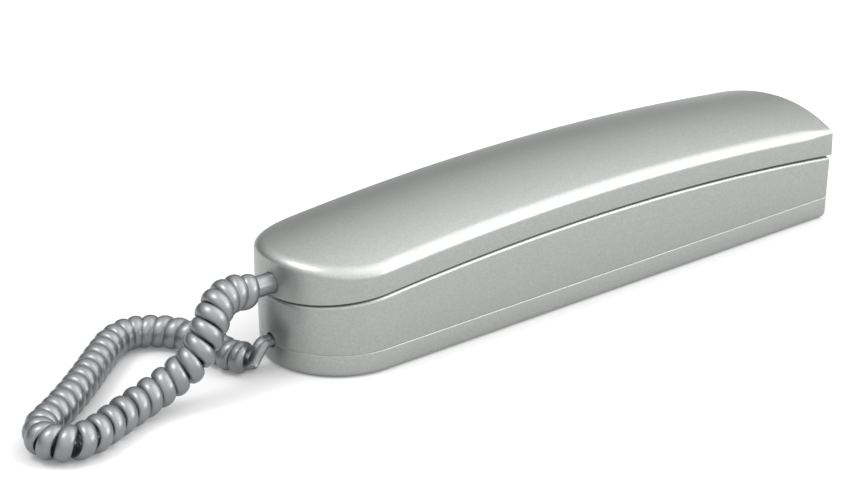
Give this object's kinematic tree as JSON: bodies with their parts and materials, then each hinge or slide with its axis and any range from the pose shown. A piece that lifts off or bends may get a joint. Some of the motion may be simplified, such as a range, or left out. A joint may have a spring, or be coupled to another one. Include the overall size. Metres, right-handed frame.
{
  "type": "wall intercom handset station",
  "caption": "Slim wall intercom: a crowned handset lies on a round-ended base with a back plate, joined to it by a curly cord, with a hook plunger and a door button under the handset.",
  "frame": {"origin": "centre of the back plate's wall face, which is the bottom of the part as it lies on its back", "axes": "+X along the length towards the ear end, with the cord at -X; +Y across the width; +Z out of the wall, towards the handset"},
  "size_m": [0.2826, 0.0628, 0.039],
  "materials": {
    "silver_paint": "satin silver paint on moulded plastic",
    "silver_plate": "satin silver paint on moulded plastic",
    "cord_vinyl": "soft semi-gloss vinyl",
    "sleeve_vinyl": "soft vinyl",
    "button_plastic": "satin moulded",
    "black_plastic": "fine moulded grain",
    "board_laminate": "solder-masked laminate",
    "terminal_plastic": "moulded",
    "screw_steel": "zinc-plated",
    "spring_steel": "drawn wire",
    "weight_steel": "rolled",
    "capsule_metal": "drawn can",
    "black_foam": "soft foam and rubber"
  },
  "bodies": {
    "base": {"back_plate": "silver_plate", "base_cover": "silver_paint", "circuit_board": "board_laminate", "board_components": "black_plastic", "terminal_block": "terminal_plastic", "terminal_screws": "screw_steel", "call_sounder": "black_plastic", "hook_switch": "black_plastic", "door_switch": "black_plastic", "board_screws": "screw_steel", "cover_screw": "screw_steel", "base_cord_gland": "sleeve_vinyl", "curly_cord": "cord_vinyl", "hook_spring": "spring_steel", "door_spring": "spring_steel"},
    "handset": {"handset_top_shell": "silver_paint", "handset_inner_shell": "silver_paint", "earpiece": "black_plastic", "earpiece_gasket": "black_foam", "microphone_capsule": "capsule_metal", "microphone_boot": "black_foam", "handset_weight": "weight_steel", "handset_screws": "screw_steel", "handset_strain_relief": "sleeve_vinyl"},
    "hook_plunger": {"hook_plunger": "button_plastic"},
    "door_button": {"door_button": "button_plastic"}
  },
  "joints": [
    {"name": "handset_lift", "type": "slide", "parent": "base", "child": "handset", "axis": [0, 0, 1], "range_m": [0, 0.045], "deforming": ["curly_cord"]},
    {"name": "hook_rise", "type": "slide", "parent": "base", "child": "hook_plunger", "axis": [0, 0, 1], "range_m": [0, 0.004], "deforming": ["hook_spring"]},
    {"name": "door_press", "type": "slide", "parent": "base", "child": "door_button", "axis": [0, 0, -1], "range_m": [0, 0.0015], "stiffness_N_per_m": 600, "springref_m": -0.0005, "deforming": ["door_spring"]}
  ],
  "couplings": [
    {"joint": "hook_rise", "follows": "handset_lift", "ratio": 0.088889}
  ]
}
